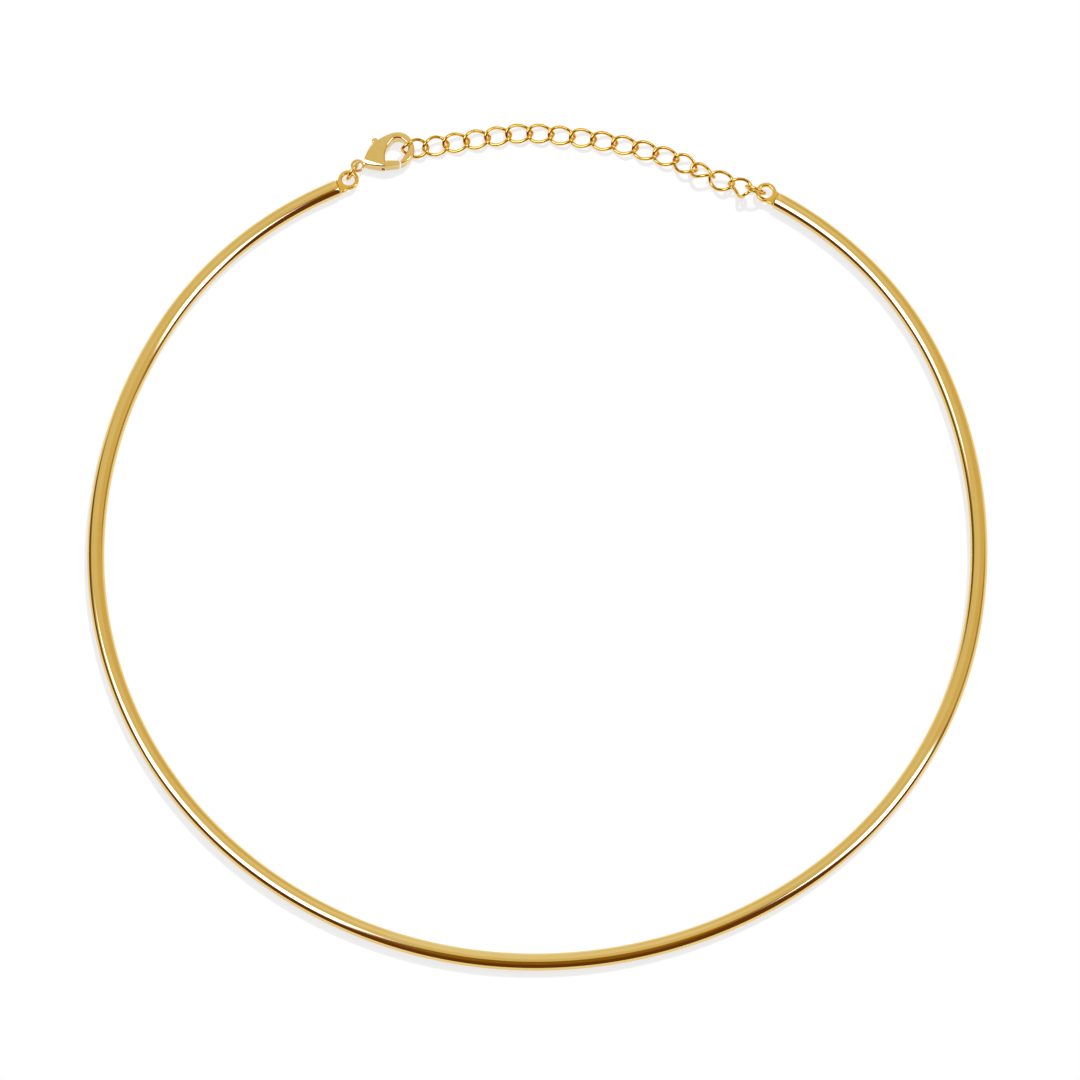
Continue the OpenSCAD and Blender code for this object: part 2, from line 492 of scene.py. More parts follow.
def rim(bm: BMesh, facing: int, chosen: Callable[[Vector], bool]) -> list[BMEdge]:
    """Find the edges between a flat face and the walls round it.

    Args:
        bm: The solid.
        facing: 1 for faces that look up and -1 for faces that look down.
        chosen: Tells of each end of an edge whether it belongs to the rim.

    Returns:
        The edges of the rim.
    """
    bm.normal_update()
    level, wall = 0.9, 0.5
    found = []
    for edge in bm.edges:
        if len(edge.link_faces) != 2 or not all(chosen(v.co) for v in edge.verts):
            continue
        slopes = sorted(f.normal.z * facing for f in edge.link_faces)
        if slopes[1] > level and slopes[0] < wall:
            found.append(edge)
    return found


def rims_at(bm: BMesh, low: float, high: float) -> list[BMEdge]:
    """Find the rims of the lower and of the upper face of a flat piece, by their heights."""
    return rim(bm, -1, lambda p: abs(p.z - low) < NEAR) + rim(bm, 1, lambda p: abs(p.z - high) < NEAR)


def disc(radius: float, low: float, high: float, edge: float = 0.0, sides: int = 48) -> BMesh:
    """Make an upright round disc or post.

    Args:
        radius: Its radius.
        low: Height of the lower face.
        high: Height of the upper face.
        edge: Size of the rounding of both rims.
        sides: Sides round it.

    Returns:
        The disc as a closed solid.
    """
    bm = bmesh.new()
    bmesh.ops.create_cone(bm, cap_ends=True, segments=sides, radius1=radius, radius2=radius, depth=high - low)
    bmesh.ops.translate(bm, vec=(0.0, 0.0, (low + high) / 2), verts=bm.verts)
    if edge > 0.0:
        round_edges(bm, rims_at(bm, low, high), edge, RIM_STEPS)
    return bm


def block(low: Sequence[float], high: Sequence[float], edge: float = 0.0) -> BMesh:
    """Make a box between two corners, with rounded edges.

    Args:
        low: The lowest corner.
        high: The highest corner.
        edge: Size of the rounding.

    Returns:
        The box as a closed solid.
    """
    bm = bmesh.new()
    bmesh.ops.create_cube(bm, size=1.0)
    span = [b - a for a, b in zip(low, high)]
    middle = [(a + b) / 2 for a, b in zip(low, high)]
    bmesh.ops.scale(bm, vec=span, verts=bm.verts)
    bmesh.ops.translate(bm, vec=middle, verts=bm.verts)
    if edge > 0.0:
        round_edges(bm, bm.edges, edge)
    return bm


def flat_ring(outer: float, hole: float, thick: float, edge: float, sides: int = 96) -> BMesh:
    """Make a flat ring with rounded edges, centred on its own middle.

    Args:
        outer: Outer diameter.
        hole: Diameter of the hole.
        thick: Thickness.
        edge: Size of the rounding of its four rims.
        sides: Sides round it.

    Returns:
        The ring as a closed solid.
    """
    bm = bmesh.new()
    corners = [(hole / 2, -thick / 2), (outer / 2, -thick / 2), (outer / 2, thick / 2), (hole / 2, thick / 2)]
    verts = [bm.verts.new((x, 0.0, z)) for x, z in corners]
    section = [bm.edges.new((verts[i], verts[(i + 1) % 4])) for i in range(4)]
    bmesh.ops.spin(bm, geom=verts + section, cent=(0, 0, 0), axis=UP, angle=math.tau, steps=sides,
                   use_merge=True, use_duplicate=False)
    bmesh.ops.remove_doubles(bm, verts=bm.verts, dist=NEAR)
    bmesh.ops.recalc_face_normals(bm, faces=bm.faces)
    round_edges(bm, rims_at(bm, -thick / 2, thick / 2), edge, RIM_STEPS)
    return bm


def turned(bm: BMesh, degrees: float, axis: str = "Z") -> BMesh:
    """Turn a solid about an axis through its origin and give it back.

    Args:
        bm: The solid.
        degrees: How far it turns.
        axis: The axis's letter.

    Returns:
        The same solid.
    """
    rotation = Matrix.Rotation(math.radians(degrees), 3, axis)
    bmesh.ops.rotate(bm, cent=(0, 0, 0), matrix=rotation, verts=bm.verts)
    return bm


def sweep(stations: Sequence[Matrix], radius: float, sides: int, closed: bool) -> BMesh:
    """Sweep a round wire through stations.

    Args:
        stations: One matrix for each station, its Z along the wire.
        radius: Radius of the wire.
        sides: Sides round the wire.
        closed: Whether the wire's ends meet.

    Returns:
        The wire as a closed solid.
    """
    bm = bmesh.new()
    ring = bmesh.ops.create_circle(bm, cap_ends=False, segments=sides, radius=radius,
                                   matrix=stations[0])["verts"]
    first = list({e for v in ring for e in v.link_edges})
    edges = first
    for before, after in zip(stations, stations[1:]):
        grown = bmesh.ops.extrude_edge_only(bm, edges=edges)["geom"]
        moved = [g for g in grown if isinstance(g, BMVert)]
        bmesh.ops.transform(bm, matrix=after @ before.inverted(), verts=moved)
        edges = [g for g in grown if isinstance(g, BMEdge) and
                 all(v in moved for v in g.verts)]
    if closed:
        bmesh.ops.bridge_loops(bm, edges=first + edges)
    else:
        for end in (first, edges):
            bmesh.ops.contextual_create(bm, geom=end)
        worn = radius / 5
        round_edges(bm, first + edges, worn, steps=2)
    bmesh.ops.recalc_face_normals(bm, faces=bm.faces)
    return bm


def station(centre: Vector, along: Vector, out: Vector) -> Matrix:
    """Build a station of a wire.

    Args:
        centre: Centre of the wire there.
        along: Direction of the wire there.
        out: Roughly the direction away from the inside of the loop.

    Returns:
        The matrix of the station, with its Z along the wire.
    """
    z = along.normalized()
    x = (out - out.dot(z) * z).normalized()
    y = z.cross(x)
    return Matrix.Translation(centre) @ Matrix((x, y, z)).transposed().to_4x4()


@dataclass(frozen=True)
class Bend:
    """One bend of the collar's tube: its radius in millimetres and how far it turns in degrees."""

    radius: float
    turn: float


@dataclass
class Collar:
    """The rigid oval tube with the loop soldered into each end.

    The tube runs counter-clockwise from the left end, round the front, to the right end. Each bend starts
    where the last one ends, in its direction. The inset moves the tube's outside inwards a little.
    """

    width: float = 2.5
    height: float = 2.0
    inset: float = 0.03
    start: Point = (-29.57, 55.5)
    heading: float = -156.1
    bends: Sequence[Bend] = (Bend(55, 34), Bend(67.5, 35), Bend(62.5, 46), Bend(64, 42),
                             Bend(67, 29), Bend(61, 49), Bend(72, 33), Bend(55.5, 38))
    sides: int = 56
    step: float = 1.0
    rim: float = 0.22
    loop_outer: float = 3.0
    loop_hole: float = 1.9
    loop_thick: float = 0.7
    loop_edge: float = 0.16
    loop_out: float = 1.85
    left_shift: float = 0.45
    right_shift: float = 0.25
    tab_width: float = 2.1
    tab_step: float = 0.34
    tab_fill: float = 0.5
    tab_edge: float = 0.128
    tab_overlap: float = 0.02
    tab_root: float = 0.2
    seam_gap: float = 0.07
    seam_depth: float = 0.13

    def centre_height(self) -> float:
        """Give the height of the tube's middle over the surface."""
        return self.height / 2

    def tube(self) -> tuple[BMesh, Vector, float]:
        """Bend the tube.

        Returns:
            The tube, the middle of its far end and the direction there in degrees.
        """
        bm = bmesh.new()
        at = Vector((*self.start, self.centre_height()))
        heading = self.heading
        side = Vector((math.sin(math.radians(heading)), -math.cos(math.radians(heading)), 0.0))
        upright = Matrix((side, UP, side.cross(UP))).transposed().to_4x4()
        oval = Matrix.Diagonal((self.width / 2, self.height / 2, 1.0, 1.0))
        section = Matrix.Translation(at - side * self.inset) @ upright @ oval
        ring = bmesh.ops.create_circle(bm, cap_ends=False, segments=self.sides, radius=1.0,
                                       matrix=section)["verts"]
        near_end = list({e for v in ring for e in v.link_edges})
        geometry = ring + near_end
        for bend in self.bends:
            h = math.radians(heading)
            middle = at + Vector((-math.sin(h), math.cos(h), 0.0)) * bend.radius
            turn = math.radians(bend.turn)
            geometry = bmesh.ops.spin(bm, geom=geometry, cent=middle, axis=UP, angle=turn,
                                      steps=math.ceil(bend.turn / self.step), use_merge=False,
                                      use_duplicate=False)["geom_last"]
            at = middle + Matrix.Rotation(turn, 3, "Z") @ (at - middle)
            heading += bend.turn
        far_end = [g for g in geometry if isinstance(g, BMEdge)]
        for end in (near_end, far_end):
            bmesh.ops.contextual_create(bm, geom=end)
        bmesh.ops.recalc_face_normals(bm, faces=bm.faces)
        round_edges(bm, near_end + far_end, self.rim, RIM_STEPS)
        return bm, at, heading

    def end_loop(self, shift: float) -> BMesh:
        """Make a loop with its solder tab, drawn from the tube's end outwards along X.

        Args:
            shift: How far the loop's middle lies to the left of the tube's line.

        Returns:
            The loop and its tab as one solid.
        """
        loop = flat_ring(self.loop_outer, self.loop_hole, self.loop_thick, self.loop_edge)
        bmesh.ops.translate(loop, vec=(self.loop_out, shift, 0.0), verts=loop.verts)
        half = self.tab_width / 2
        thick = self.loop_thick / 2
        # Each side of the tab leads from its step to the loop, part of the way towards a tangent
        corners = [(self.seam_gap, -half), (self.seam_gap, half)]
        for side in (1, -1):
            away = Vector((self.tab_step - self.loop_out, half * side - shift))
            lean = math.acos(min(1.0, self.loop_outer / 2 / away.length)) * self.tab_fill
            touch = away.normalized() * (self.loop_outer / 2 - self.tab_overlap)
            touch.rotate(Matrix.Rotation(-side * lean, 2))
            corners += [(self.tab_step, half * side), (self.loop_out + touch.x, shift + touch.y)][::side]
        tab = plate(corners, -thick, thick)
        round_edges(tab, rims_at(tab, -thick, thick), self.tab_edge)
        room = disc((self.loop_outer + self.loop_hole) / 4, -self.loop_thick, self.loop_thick)
        bmesh.ops.translate(room, vec=(self.loop_out, shift, 0.0), verts=room.verts)
        tab = combine(tab, room, Cut.DIFFERENCE)
        # Only this narrower root enters the tube, which leaves a seam round it
        root = block((-self.tab_root, self.seam_depth - half, self.seam_depth - thick),
                     (self.tab_root + self.loop_edge, half - self.seam_depth, thick - self.seam_depth))
        return combine(combine(loop, tab, Cut.UNION), root, Cut.UNION)

    def build(self, shop: Workshop) -> None:
        """Build the tube and both end loops.

        Args:
            shop: The workshop that finishes the pieces.
        """
        tube, end, heading = self.tube()
        shop.piece(tube, "collar_tube", Body.CHOKER, Slot.COLLAR, placed(0, 0), ["collar"],
                   crease=50.0)
        z = self.centre_height()
        shop.piece(self.end_loop(self.left_shift), "left_end_loop", Body.CHOKER, Slot.RING,
                   placed(*self.start, z, self.heading + 180))
        shop.piece(self.end_loop(-self.right_shift), "right_end_loop", Body.CHOKER, Slot.RING,
                   placed(end.x, end.y, z, heading))


@dataclass
class Clasp:
    """The cast clasp: a flat body with its hook, and the lever that closes the hook."""

    at: Point = (-23.3, 59.35)
    turn: float = 17.0
    thick: float = 2.0
    back: Sequence[Point] = ((-2.5, 0.75), (-1.4, 2.2), (0, 3.17), (1.7, 3.68), (3.3, 3.78),
                             (4.6, 3.2), (5.3, 1.75), (5.1, -0.05), (3.9, -1.02), (2.74, -1.3))
    hook: Sequence[Point] = ((2.7, -0.84), (3.6, -0.12), (4.35, 0.7), (4.45, 1.5), (3.85, 2.55),
                             (2.95, 2.87), (2.2, 2.47), (1.4, 1.75), (0.85, 0.8), (0.62, -0.12))
    front: Sequence[Point] = ((0.28, -1.03), (-0.4, -0.75), (-1.7, -0.1), (-2.3, 0.33))
    gate: Sequence[Point] = ((0.78, -0.17), (2.5, -0.72), (2.56, -1.1), (2.36, -1.4), (0.42, -1.1))
    tongue_line: Sequence[Point] = ((0, -0.1), (1, -0.35), (0.8, -1.12), (0.3, -0.95), (-0.3, -0.6))
    run_steps: int = 6
    edge_steps: int = 7
    outer_edge: float = 0.16
    inner_edge: float = 0.24
    seam_edge: float = 0.08
    low_edge: float = 0.16
    gate_under: float = 0.45
    gate_edge: float = 0.1
    facet_from: Point = (-1.70, 0.56)
    facet_to: Point = (0.42, -0.96)
    facet_tilt: float = 19.0
    facet_edge: float = 0.2
    crown_from: float = 2.2
    crown_radius: float = 50.0
    taper_from: float = 2.0
    taper_angle: float = 17.0
    tail_at: Point = (-3.42, 0.6)
    tail_outer: float = 2.0
    tail_hole: float = 1.35
    tail_thick: float = 0.6
    tail_edge: float = 0.12
    neck_width: float = 0.75
    neck_length: float = 0.7
    neck_root: float = 0.2
    neck_edge: float = 0.1
    tongue: float = 0.6
    gap: float = 0.08
    slot_reach: float = 4.6
    tongue_room: tuple[float, float, float] = (1.6, -100.0, 45.0)
    arm_reach: float = 3.6
    arm_angle: float = 88.0
    arm_width: float = 0.7
    arm_edge: float = 0.06
    lever_range: float = 24.0
    hub: float = 1.5
    knob: float = 0.9
    knob_edge: float = 0.2
    knob_low: float = 0.35
    knob_high: float = 1.5
    gate_lift: float = 0.05

    def place(self) -> Matrix:
        """Give the matrix that puts the clasp in its place."""
        return placed(*self.at, 0.0, self.turn)

    def slot(self) -> tuple[float, float]:
        """Give the lower and upper height of the slot that the lever's arm swings in."""
        half = self.tongue / 2 + self.gap
        return self.thick / 2 - half, self.thick / 2 + half

    @staticmethod
    def arc(radius: float, start: float, end: float, steps: int) -> list[Point]:
        """Give the points of an arc about the pin, from one angle in degrees to another."""
        angles = [math.radians(start + (end - start) * k / steps) for k in range(steps + 1)]
        return [(radius * math.cos(a), radius * math.sin(a)) for a in angles]

    def sector(self, reach: float, start: float, end: float, low: float, high: float) -> BMesh:
        """Make a slice of a disc about the pin, between two angles in degrees."""
        return plate([(0.0, 0.0)] + self.arc(reach, start, end, steps=12), low, high)

    def arm(self, reach: float, half: float, low: float, high: float, angle: float,
            edge: float = 0.0) -> BMesh:
        """Make a bar from the pin outwards at an angle in degrees."""
        return turned(block((0.0, -half, low), (reach, half, high), edge), angle)

    def body(self) -> BMesh:
        """Cast the body with its hook, the lever's slot, the tail ring and its neck.

        Returns:
            The body as one solid.
        """
        back, hook, front = (smooth_run(run, self.run_steps) for run in (self.back, self.hook, self.front))
        solid = plate(back + hook + front, 0.0, self.thick)

        def along(run: Sequence[Point], height: float) -> Callable[[Vector], bool]:
            """Tell whether a point lies on the rim at this height along a run."""
            near = 1e-3
            return lambda p: abs(p.z - height) < near and any(math.dist(p.xy, at) < near for at in run)

        steps = self.edge_steps
        round_edges(solid, rim(solid, -1, along(back + hook + front, 0.0)), self.low_edge, RIM_STEPS, False)
        round_edges(solid, rim(solid, 1, along(hook, self.thick)), self.inner_edge, steps, False)
        round_edges(solid, rim(solid, 1, along(back, self.thick)), self.outer_edge, steps, False)
        solid = combine(solid, self.taper(), Cut.DIFFERENCE)
        solid = combine(solid, self.facet(), Cut.DIFFERENCE)
        solid.normal_update()
        # The facet meets the front wall in the edges between a face of its slope and a steep one
        slope = math.cos(math.radians(self.facet_tilt))
        alike, steep = 1e-3, 0.3
        edges = [e for e in solid.edges if len(e.link_faces) == 2 and
                 any(abs(f.normal.z - slope) < alike for f in e.link_faces) and
                 any(abs(f.normal.z) < steep for f in e.link_faces)]
        round_edges(solid, edges, self.facet_edge, steps, False)
        self.crown(solid)
        low, high = self.slot()
        half = self.arm_width / 2 + self.gap
        pressed = self.arm_angle + self.lever_range
        for cutter in (self.sector(self.slot_reach, self.arm_angle, pressed, low, high),
                       self.sector(*self.tongue_room, low, high),
                       self.arm(self.slot_reach, half, low, high, self.arm_angle),
                       self.arm(self.slot_reach, half, low, high, pressed),
                       disc(self.hub / 2 + self.gap, low, high),
                       self.knob_path()):
            solid = combine(solid, cutter, Cut.DIFFERENCE)
        tail = flat_ring(self.tail_outer, self.tail_hole, self.tail_thick, self.tail_edge, sides=64)
        bmesh.ops.translate(tail, vec=(*self.tail_at, self.thick / 2), verts=tail.verts)
        x = self.tail_at[0] + self.tail_outer / 2 - self.neck_root
        y = self.tail_at[1] - self.neck_width / 2
        z = self.thick / 2 - self.tail_thick / 2
        neck = block((x, y, z), (x + self.neck_length, y + self.neck_width, z + self.tail_thick),
                     self.neck_edge)
        solid = combine(solid, tail, Cut.UNION)
        return combine(solid, neck, Cut.UNION)

    def taper(self) -> BMesh:
        """Make the wedge that thins the hook from below towards its bow.

        Returns:
            The wedge as a closed solid.
        """
        reach, below = 5.0, -1.0
        rise = reach * math.tan(math.radians(self.taper_angle))
        wedge = plate([(self.taper_from, 0.0), (self.taper_from, below), (self.taper_from + reach, below),
                       (self.taper_from + reach, rise)], -reach, reach)
        return turned(wedge, 90.0, "X")

    def crown(self, solid: BMesh) -> None:
        """Curve the upper face gently down towards the tail and towards the bow.

        Args:
            solid: The body, which is changed.
        """
        # The cuts let the face curve, and are shifted a little so that they miss the outline's corners
        reach, step, shift = 6.0, 0.5, 0.013
        for k in range(-int(reach / step), int(reach / step)):
            everything = solid.verts[:] + solid.edges[:] + solid.faces[:]
            bmesh.ops.bisect_plane(solid, geom=everything, dist=NEAR, plane_co=(k * step + shift, 0, 0),
                                   plane_no=(1, 0, 0))
        for vert in solid.verts:
            if vert.co.z > self.thick / 2:
                vert.co.z -= (vert.co.x - self.crown_from) ** 2 / (2 * self.crown_radius)

    def facet(self) -> BMesh:
        """Make the block that planes the long bright facet along the front of the upper face.

        Returns:
            The block as a closed solid.
        """
        start, end = Vector(self.facet_from), Vector(self.facet_to)
        reach = 3.0
        cutter = turned(block((-reach, -2 * reach, 0.0), (2 * reach, 0.0, reach)), self.facet_tilt, "X")
        cutter = turned(cutter, math.degrees(math.atan2(end.y - start.y, end.x - start.x)))
        bmesh.ops.translate(cutter, vec=(start.x, start.y, self.thick), verts=cutter.verts)
        return cutter

    def knob_path(self) -> BMesh:
        """Make the curved room that the knob swings through.

        Returns:
            The room as a closed solid.
        """
        swing, steps = 10.0, 16
        inner = self.arm_reach - self.knob / 2 - self.gap
        outer = inner + 2 * self.knob
        start = self.arm_angle - swing
        end = self.arm_angle + self.lever_range + swing
        ring = self.arc(inner, start, end, steps) + self.arc(outer, end, start, steps)
        return plate(ring, self.knob_low - self.gap, self.knob_high + self.gap)

    def lever(self) -> BMesh:
        """Cast the lever: gate, hub, arm and thumb knob.

        Returns:
            The lever as one solid.
        """
        low = self.thick / 2 - self.tongue / 2
        high = low + self.tongue
        gate = plate(self.gate, self.gate_lift, self.thick)
        upright = [e for e in gate.edges if abs(e.verts[0].co.z - e.verts[1].co.z) > self.thick / 2]
        round_edges(gate, upright, self.gate_edge, steps=2)
        upper = rim(gate, 1, lambda p: p.z > self.thick - NEAR)
        round_edges(gate, upper, self.seam_edge, steps=2, clamp=False)
        middle = sum(y for _, y in self.gate) / len(self.gate)
        under = rim(gate, -1, lambda p: p.z < self.gate_lift + NEAR and p.y < middle)
        round_edges(gate, under, self.gate_under, steps=5, clamp=False)
        knob = disc(self.knob / 2, self.knob_low, self.knob_high, self.knob_edge, sides=32)
        angle = math.radians(self.arm_angle)
        across = (self.arm_reach * math.cos(angle), self.arm_reach * math.sin(angle), 0.0)
        bmesh.ops.translate(knob, vec=across, verts=knob.verts)
        solid = gate
        for other in (plate(self.tongue_line, low, high), disc(self.hub / 2, low, high),
                      self.arm(self.arm_reach, self.arm_width / 2, low, high, self.arm_angle, self.arm_edge),
                      knob):
            solid = combine(solid, other, Cut.UNION)
        return solid

    def build(self, shop: Workshop) -> None:
        """Build the body and the lever.

        Args:
            shop: The workshop that finishes the pieces.
        """
        shop.piece(self.body(), "clasp_casting", Body.CHOKER, Slot.CLASP, self.place(), ["clasp_body"],
                   crease=14.0)
        shop.piece(self.lever(), "lever_casting", Body.LEVER, Slot.LEVER, self.place(), ["clasp_lever"],
                   crease=30.0)


@dataclass
class JumpRing:
    """A round ring of wire, cut once, standing on the surface."""

    name: str
    node: str
    at: Point
    direction: float
    lean: float
    joint: float
    outer: float = 3.38
    wire: float = 0.49
    floor_gap: float = 0.02
    steps: int = 72
    sides: int = 20
    cut: float = 0.04

    def build(self, shop: Workshop) -> None:
        """Bend the ring and stand it in its place.

        Args:
            shop: The workshop that finishes the pieces.
        """
        radius = (self.outer - self.wire) / 2
        opening = self.cut / radius
        matrices = []
        for k in range(self.steps + 1):
            a = math.radians(self.joint) + opening / 2 + (math.tau - opening) * k / self.steps
            out = Vector((math.cos(a), 0.0, math.sin(a)))
            matrices.append(station(out * radius, Vector((-math.sin(a), 0.0, math.cos(a))), out))
        ring = sweep(matrices, self.wire / 2, self.sides, closed=False)
        height = self.wire / 2 + self.floor_gap + radius * math.cos(math.radians(self.lean))
        place = placed(*self.at, height, self.direction) @ Matrix.Rotation(math.radians(-self.lean), 4, "X")
        shop.piece(ring, self.name, Body.CHOKER, Slot.RING, place, [self.node], crease=50.0)


@dataclass(frozen=True)
class Lie:
    """How one link lies: plan place, heading, roll, rise and twist in degrees."""

    x: float
    y: float
    heading: float
    roll: float
    rise: float
    twist: float


@dataclass
class Chain:
    """The extender chain of twisted curb links."""

    length: float = 4.25
    width: float = 3.12
    wire: float = 0.48
    floor_gap: float = 0.03
    steps: int = 72
    sides: int = 18
    lies: Sequence[Lie] = (
        Lie(-18.32, 61.63, 6, 40, -4, 47), Lie(-15.30, 62.16, 15, 23, -6, 43),
        Lie(-12.29, 62.78, 8, 8, -1, 36), Lie(-9.23, 63.33, 10, 4, 0, 34),
        Lie(-6.15, 63.87, 9, 2, -1, 32), Lie(-3.05, 64.28, 3, 2, -1, 31),
        Lie(0.08, 64.26, -2, 1, -1, 31), Lie(3.20, 63.94, -7, 0, 0, 31),
        Lie(6.31, 63.52, -6, 1, 0, 31), Lie(9.41, 63.02, -11, 1, -1, 32),
        Lie(12.48, 62.36, -12, 0, 0, 31), Lie(15.50, 61.49, -17, 1, 0, 32),
        Lie(18.50, 60.55, -17, 0, 0, 34), Lie(21.32, 59.22, -31, 1, -1, 52),
        Lie(23.88, 57.90, -29, -30, 10, 48), Lie(26.59, 56.50, -23, 15, 6, 36),
        Lie(29.30, 55.17, -28, 44, 25, 61))

    def wire_line(self, lie: Lie) -> Callable[[float], Vector]:
        """Give the line of a link's wire.

        Args:
            lie: How the link lies.

        Returns:
            A function that gives the point of the wire at an angle round the link, in radians.
        """
        long = (self.length - self.wire) / 2
        short = (self.width - self.wire) / 2
        rise = math.radians(lie.rise)

        def line(t: float) -> Vector:
            """Give the point of the wire at an angle.

            Args:
                t: The angle.

            Returns:
                The point.
            """
            r = short * math.sin(t)
            a = math.radians(lie.roll - lie.twist * math.cos(t))
            x, z = long * math.cos(t), r * math.sin(a)
            return Vector((x * math.cos(rise) - z * math.sin(rise), r * math.cos(a),
                           x * math.sin(rise) + z * math.cos(rise)))

        return line

    def link(self, lie: Lie) -> tuple[BMesh, float]:
        """Form one link about its own middle.

        Args:
            lie: How the link lies.

        Returns:
            The link, and the height at which its middle is when it rests on the surface.
        """
        line = self.wire_line(lie)
        small = 0.001
        matrices = []
        for k in range(self.steps):
            t = math.tau * k / self.steps
            matrices.append(station(line(t), line(t + small) - line(t - small), line(t)))
        lowest = min(m.translation.z for m in matrices)
        link = sweep(matrices, self.wire / 2, self.sides, closed=True)
        return link, self.wire / 2 + self.floor_gap - lowest

    def build(self, shop: Workshop) -> None:
        """Build the links from the clasp to the right end.

        Args:
            shop: The workshop that finishes the pieces.
        """
        for number, lie in enumerate(self.lies, 1):
            link, height = self.link(lie)
            shop.piece(link, f"curb_link_{number:02d}", Body.CHOKER, Slot.LINK,
                       placed(lie.x, lie.y, height, lie.heading), [f"link_{number:02d}"], crease=60.0)


@dataclass(frozen=True)
class Panel:
    """A soft-edged patch of the studio, measured in degrees from straight overhead."""

    right: float
    back: float
    half_across: float
    half_along: float
    turn: float
    soft: float
    tone: Colour


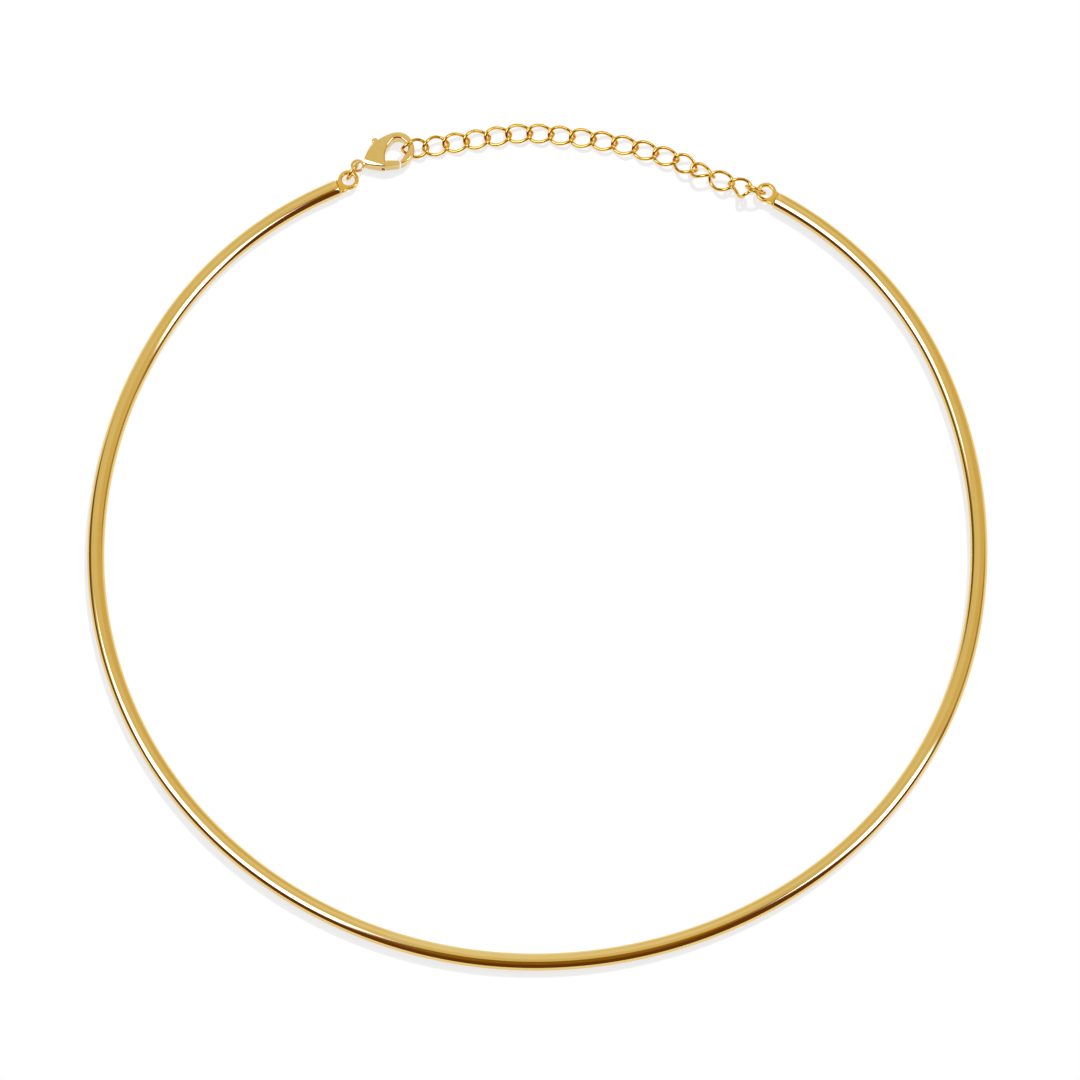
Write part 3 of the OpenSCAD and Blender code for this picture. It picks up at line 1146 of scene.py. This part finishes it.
@dataclass
class Studio:
    """Floor, light and camera."""

    tilt: float = 21.5
    distance: float = 1.5
    pixels_per_mm: float = 6.92
    image: int = 1080
    sensor: float = 36.0
    aim: tuple[float, float, float] = (0.0, 0.0, 1.0)
    floor_size: float = 12.0
    overhead: float = 1.0
    overhead_edge: tuple[float, float] = (48.0, 32.0)
    card: Colour = (0.79, 0.73, 0.54, 1.0)
    warm_card: Panel = Panel(40, 50, 32, 46, 0, 18, (0.74, 0.62, 0.33, 1.0))
    pale_streak: Panel = Panel(4, 70, 12, 44, -4, 11, (0.89, 0.91, 0.92, 1.0))
    dark_front: Panel = Panel(0, -101, 120, 97, 0, 4.5, (0.145, 0.052, 0.012, 1.0))
    amber_front: Panel = Panel(0, -22, 18, 16, -4, 9, (0.28, 0.15, 0.017, 1.0))
    amber_glow: Panel = Panel(11, -9, 7, 4, -35, 5, (0.42, 0.23, 0.02, 1.0))
    left_horizon: Panel = Panel(-72, -8, 14, 46, 4, 6, (0.155, 0.073, 0.022, 1.0))
    olive_patch: Panel = Panel(-64, 30, 12, 13, 8, 7, (0.15, 0.105, 0.035, 1.0))
    right_horizon: Panel = Panel(69, 7.5, 9, 19.5, 0, 8, (0.39, 0.25, 0.10, 1.0))
    left_box: Panel = Panel(-33.4, -6.5, 19, 15.3, -33, 4, (3.4, 4.2, 9.0, 1.0))
    right_box: Panel = Panel(39, -10, 16.5, 9.0, -19, 3.5, (3.4, 4.2, 9.0, 1.0))
    sun_turn: float = 30.0
    sun_height: float = 53.0
    sun_power: float = 2.2
    sun_spread: float = 7.0

    def world(self) -> None:
        """Light the studio: panels for the reflections, an even overhead light for the floor."""
        world = bpy.data.worlds.new("studio")
        bpy.context.scene.world = world
        world.cycles.sampling_method = "NONE"
        tree = Tree(world)
        direction = tree.node("ShaderNodeTexCoord", {}, {}, "Generated")
        x, y, z = (tree.node("ShaderNodeSeparateXYZ", {}, [direction], i) for i in range(3))
        zenith = z.arccosine() * (180 / math.pi)
        # Stands in for the squared sine straight overhead, where that is 0
        least = 1e-6
        spread = zenith / ((1.0 - z * z).at_least(least) ** 0.5)
        right, back = x * spread, y * spread
        seen: Union[Field, Colour] = self.card
        for panel in (self.warm_card, self.pale_streak, self.dark_front, self.amber_front, self.amber_glow,
                      self.left_horizon, self.olive_patch, self.right_horizon, self.left_box, self.right_box):
            turn = math.radians(panel.turn)
            dx, dy = right - panel.right, back - panel.back
            across = (dx * math.cos(turn) + dy * math.sin(turn)).magnitude()
            along = (dy * math.cos(turn) - dx * math.sin(turn)).magnitude()
            mask = across.ramp(panel.half_across + panel.soft, panel.half_across - panel.soft)
            mask = mask * along.ramp(panel.half_along + panel.soft, panel.half_along - panel.soft)
            seen = tree.blend(mask, seen, panel.tone)
        diffuse = tree.node("ShaderNodeLightPath", {}, {}, "Is Diffuse Ray")
        camera = tree.node("ShaderNodeLightPath", {}, {}, "Is Camera Ray")
        above = zenith.ramp(*self.overhead_edge) * self.overhead
        soft = tree.node("ShaderNodeCombineXYZ", {}, [above, above, above])
        colour = tree.blend(diffuse, seen, soft)
        colour = tree.blend(camera, colour, WHITE)
        glow = tree.node("ShaderNodeBackground", {}, {"Color": colour, "Strength": 1.0})
        tree.finish(glow, "ShaderNodeOutputWorld")

    def key_light(self) -> None:
        """Hang the key light that draws the shadow towards the front left."""
        lamp = bpy.data.lights.new("key", "SUN")
        lamp.energy = self.sun_power
        lamp.angle = math.radians(self.sun_spread)
        light = bpy.data.objects.new("key", lamp)
        light.visible_glossy = False
        turn, height = math.radians(self.sun_turn), math.radians(self.sun_height)
        level = Vector((math.sin(turn), math.cos(turn), 0.0))
        towards = level * math.cos(height) + UP * math.sin(height)
        light.rotation_euler = towards.to_track_quat("Z", "Y").to_euler()
        light.location = towards
        bpy.context.scene.collection.objects.link(light)

    def floor(self) -> None:
        """Lay the pale floor."""
        bm = bmesh.new()
        bmesh.ops.create_grid(bm, x_segments=1, y_segments=1, size=self.floor_size / 2)
        mesh = bpy.data.meshes.new("floor")
        bm.to_mesh(mesh)
        bm.free()
        mesh.materials.append(FloorFinish().build())
        made = bpy.data.objects.new("floor", mesh)
        bpy.context.scene.collection.objects.link(made)

    def camera(self) -> None:
        """Set up the camera at the angle of the picture."""
        data = bpy.data.cameras.new("camera")
        data.sensor_width = self.sensor
        data.lens = self.sensor * self.pixels_per_mm / MM * self.distance / self.image
        data.clip_start, data.clip_end = 0.01, 100.0
        camera = bpy.data.objects.new("camera", data)
        tilt = math.radians(self.tilt)
        back = Vector((0.0, -math.sin(tilt), math.cos(tilt)))
        camera.location = plan(*self.aim) + back * self.distance
        camera.rotation_euler = (-back).to_track_quat("-Z", "Y").to_euler()
        bpy.context.scene.collection.objects.link(camera)
        bpy.context.scene.camera = camera
        bpy.context.scene.view_settings.view_transform = "Standard"

    def build(self) -> None:
        """Set up the whole studio."""
        self.world()
        self.key_light()
        self.floor()
        self.camera()


def main() -> None:
    """Build the choker and its studio."""
    logging.basicConfig(level=logging.INFO, format="%(message)s")
    collar = GoldFinish("collar_polish", polish=0.035, haze=0.04, scratch_depth=0.000001).build()
    wire = GoldFinish("wire_polish", (0.85, 0.55, 0.105, 1.0), (0.83, 0.525, 0.09, 1.0), polish=0.04,
                      haze=0.035, ripple_scale=500.0).build()
    curb = GoldFinish("curb_polish", (0.835, 0.51, 0.062, 1.0), (0.815, 0.485, 0.052, 1.0), polish=0.04,
                      haze=0.035, ripple_scale=500.0).build()
    cast = GoldFinish("cast_polish", polish=0.08, haze=0.06, ripple_scale=900.0, ripple_depth=0.00001).build()
    shop = Workshop({Slot.COLLAR: collar, Slot.CLASP: cast, Slot.LEVER: cast, Slot.RING: wire,
                     Slot.LINK: curb})
    Collar().build(shop)
    Clasp().build(shop)
    JumpRing("clasp_jump_ring", "clasp_ring", (-27.4, 57.86), direction=59.0, lean=-8.0,
             joint=75.0).build(shop)
    JumpRing("chain_jump_ring", "chain_ring", (31.54, 54.80), direction=-22.0, lean=-13.0,
             joint=130.0).build(shop)
    Chain().build(shop)
    Studio().build()


if __name__ == "__main__":
    main()
